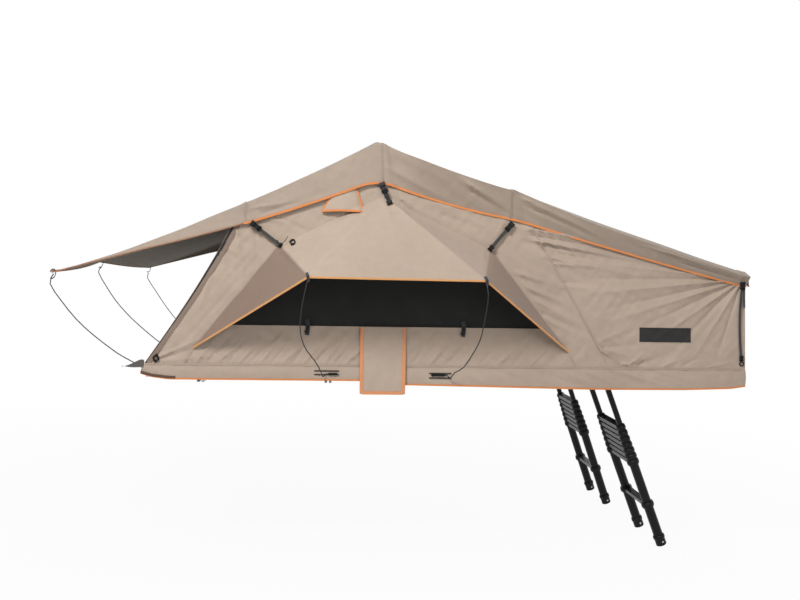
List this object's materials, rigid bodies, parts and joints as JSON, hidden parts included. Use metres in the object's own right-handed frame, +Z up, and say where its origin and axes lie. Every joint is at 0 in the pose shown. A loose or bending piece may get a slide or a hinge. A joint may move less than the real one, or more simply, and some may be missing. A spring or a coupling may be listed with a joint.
{
  "type": "roof top tent",
  "caption": "Soft roof top tent on a folding base, opened to a ridged room with window canopies, an awning, a covered overhang and telescopic ladders.",
  "frame": {"origin": "the middle of the four roof bar bolts, on the underside of the mounting rails", "axes": "+X from the fixed half to the fold-out half, +Y along the hinge away from the viewer, +Z up"},
  "size_m": [3.8484, 2.9256, 2.3242],
  "materials": {
    "canvas": "matte",
    "fly": "matte",
    "mesh": "matte",
    "frame": "satin",
    "panel": "matte",
    "foam": "matte",
    "steel": "brushed",
    "rod": "satin",
    "ladder": "satin"
  },
  "bodies": {
    "base": {"mounting_rails": "frame", "rail_bolts": "steel", "fixed_base_frame": "frame", "fixed_floor_panel": "panel", "fixed_mattress": "foam", "fixed_hinge_plates": "frame", "hinge_pins": "steel", "bow_bolts": "steel", "fixed_canvas": "canvas", "fixed_skirt": "canvas", "fixed_fly": "fly", "fixed_window_mesh": "mesh", "fixed_canopies": "canvas", "fixed_window_rods": "rod", "fixed_rod_sockets": "steel", "hinge_flaps": "canvas"},
    "fold_half": {"fold_base_frame": "frame", "fold_floor_panel": "panel", "fold_mattress": "foam", "fold_hinge_plates": "frame", "fold_canvas": "canvas", "fold_skirt": "canvas", "fold_fly": "fly", "fold_window_mesh": "mesh", "fold_canopies": "canvas", "fold_window_rods": "rod", "fold_rod_sockets": "steel", "room_end_wall": "canvas", "ladder_brackets": "frame", "overhang_brackets": "frame"},
    "left_bow_body": {"left_bow": "frame"},
    "apex_bow_body": {"apex_bow": "frame"},
    "right_bow_body": {"right_bow": "frame"},
    "overhang": {"overhang_bow": "frame", "vestibule_canvas": "canvas", "vestibule_skirt": "canvas", "vestibule_fly": "fly"},
    "awning_body": {"awning": "fly"},
    "near_rod_body": {"near_awning_rod": "rod"},
    "middle_rod_body": {"middle_awning_rod": "rod"},
    "far_rod_body": {"far_awning_rod": "rod"},
    "near_section_1": {"near_ladder_1": "ladder"},
    "near_section_2": {"near_ladder_2": "ladder"},
    "near_section_3": {"near_ladder_3": "ladder"},
    "near_section_4": {"near_ladder_4": "ladder"},
    "near_section_5": {"near_ladder_5": "ladder"},
    "near_section_6": {"near_ladder_6": "ladder"},
    "near_section_7": {"near_ladder_7": "ladder"},
    "near_section_8": {"near_ladder_8": "ladder"},
    "near_section_9": {"near_ladder_9": "ladder"},
    "far_section_1": {"far_ladder_1": "ladder"},
    "far_section_2": {"far_ladder_2": "ladder"},
    "far_section_3": {"far_ladder_3": "ladder"},
    "far_section_4": {"far_ladder_4": "ladder"},
    "far_section_5": {"far_ladder_5": "ladder"},
    "far_section_6": {"far_ladder_6": "ladder"},
    "far_section_7": {"far_ladder_7": "ladder"},
    "far_section_8": {"far_ladder_8": "ladder"},
    "far_section_9": {"far_ladder_9": "ladder"}
  },
  "joints": [
    {"name": "base_fold", "type": "hinge", "parent": "base", "child": "fold_half", "pos_m": [0.64, 0, 0.18], "axis": [0, -1, 0], "range_deg": [0, 180], "deforming": ["fixed_canvas", "fixed_fly", "fixed_window_mesh", "fixed_canopies", "hinge_flaps", "fold_canvas", "fold_fly", "fold_window_mesh", "fold_canopies", "room_end_wall", "vestibule_canvas", "vestibule_skirt", "vestibule_fly", "overhang_bow", "awning"]},
    {"name": "left_bow_swing", "type": "hinge", "parent": "base", "child": "left_bow_body", "pos_m": [0.61, 0, 0.16], "axis": [0, -1, 0], "range_deg": [0, 48.48]},
    {"name": "apex_bow_swing", "type": "hinge", "parent": "base", "child": "apex_bow_body", "pos_m": [0.64, 0, 0.18], "axis": [0, -1, 0], "range_deg": [0, 89.85]},
    {"name": "right_bow_swing", "type": "hinge", "parent": "base", "child": "right_bow_body", "pos_m": [0.67, 0, 0.2], "axis": [0, -1, 0], "range_deg": [0, 127.82]},
    {"name": "overhang_swing", "type": "hinge", "parent": "fold_half", "child": "overhang", "pos_m": [1.945, 0, 0.141], "axis": [0, -1, 0], "range_deg": [0, 145.44]},
    {"name": "awning_swing", "type": "hinge", "parent": "left_bow_body", "child": "awning_body", "pos_m": [-0.109, 0, 0.972], "axis": [0, -1, 0], "range_deg": [0, 28]},
    {"name": "near_rod_swing", "type": "hinge", "parent": "base", "child": "near_rod_body", "pos_m": [-0.65, -1.078, 0.086], "axis": [-1, 0, 0], "range_deg": [0, 80]},
    {"name": "middle_rod_swing", "type": "hinge", "parent": "base", "child": "middle_rod_body", "pos_m": [-0.65, 0, 0.086], "axis": [-1, 0, 0], "range_deg": [0, 58]},
    {"name": "far_rod_swing", "type": "hinge", "parent": "base", "child": "far_rod_body", "pos_m": [-0.65, 1.078, 0.086], "axis": [1, 0, 0], "range_deg": [0, 80]},
    {"name": "near_ladder_tilt", "type": "hinge", "parent": "fold_half", "child": "near_section_9", "pos_m": [1.965, -0.5535, 0.066], "axis": [0, -1, 0], "range_deg": [-20, 50]},
    {"name": "near_slide_8", "type": "slide", "parent": "near_section_9", "child": "near_section_8", "axis": [0.3502, 0, -0.9367], "range_m": [-0.284, 0]},
    {"name": "near_slide_7", "type": "slide", "parent": "near_section_8", "child": "near_section_7", "axis": [0.3502, 0, -0.9367], "range_m": [0, 0.2353]},
    {"name": "near_slide_6", "type": "slide", "parent": "near_section_7", "child": "near_section_6", "axis": [0.3502, 0, -0.9367], "range_m": [0, 0.2353]},
    {"name": "near_slide_5", "type": "slide", "parent": "near_section_6", "child": "near_section_5", "axis": [0.3502, 0, -0.9367], "range_m": [0, 0.2353]},
    {"name": "near_slide_4", "type": "slide", "parent": "near_section_5", "child": "near_section_4", "axis": [0.3502, 0, -0.9367], "range_m": [0, 0.2353]},
    {"name": "near_slide_3", "type": "slide", "parent": "near_section_4", "child": "near_section_3", "axis": [0.3502, 0, -0.9367], "range_m": [0, 0.2353]},
    {"name": "near_slide_2", "type": "slide", "parent": "near_section_3", "child": "near_section_2", "axis": [0.3502, 0, -0.9367], "range_m": [0, 0.2353]},
    {"name": "near_slide_1", "type": "slide", "parent": "near_section_2", "child": "near_section_1", "axis": [0.3502, 0, -0.9367], "range_m": [-0.2353, 0]},
    {"name": "far_ladder_tilt", "type": "hinge", "parent": "fold_half", "child": "far_section_9", "pos_m": [1.965, 0.5535, 0.066], "axis": [0, -1, 0], "range_deg": [-18, 50]},
    {"name": "far_slide_8", "type": "slide", "parent": "far_section_9", "child": "far_section_8", "axis": [0.3256, 0, -0.9455], "range_m": [-0.284, 0]},
    {"name": "far_slide_7", "type": "slide", "parent": "far_section_8", "child": "far_section_7", "axis": [0.3256, 0, -0.9455], "range_m": [0, 0.2353]},
    {"name": "far_slide_6", "type": "slide", "parent": "far_section_7", "child": "far_section_6", "axis": [0.3256, 0, -0.9455], "range_m": [0, 0.2353]},
    {"name": "far_slide_5", "type": "slide", "parent": "far_section_6", "child": "far_section_5", "axis": [0.3256, 0, -0.9455], "range_m": [0, 0.2353]},
    {"name": "far_slide_4", "type": "slide", "parent": "far_section_5", "child": "far_section_4", "axis": [0.3256, 0, -0.9455], "range_m": [0, 0.2353]},
    {"name": "far_slide_3", "type": "slide", "parent": "far_section_4", "child": "far_section_3", "axis": [0.3256, 0, -0.9455], "range_m": [0, 0.2353]},
    {"name": "far_slide_2", "type": "slide", "parent": "far_section_3", "child": "far_section_2", "axis": [0.3256, 0, -0.9455], "range_m": [0, 0.2353]},
    {"name": "far_slide_1", "type": "slide", "parent": "far_section_2", "child": "far_section_1", "axis": [0.3256, 0, -0.9455], "range_m": [-0.2353, 0]}
  ],
  "couplings": [
    {"joint": "left_bow_swing", "follows": "base_fold", "ratio": 0.26931},
    {"joint": "apex_bow_swing", "follows": "base_fold", "ratio": 0.49915},
    {"joint": "right_bow_swing", "follows": "base_fold", "ratio": 0.71011},
    {"joint": "overhang_swing", "follows": "base_fold", "ratio": 0.80802},
    {"joint": "near_rod_swing", "follows": "awning_swing", "ratio": 2.8571},
    {"joint": "middle_rod_swing", "follows": "awning_swing", "ratio": 2.0714},
    {"joint": "far_rod_swing", "follows": "awning_swing", "ratio": 2.8571}
  ]
}
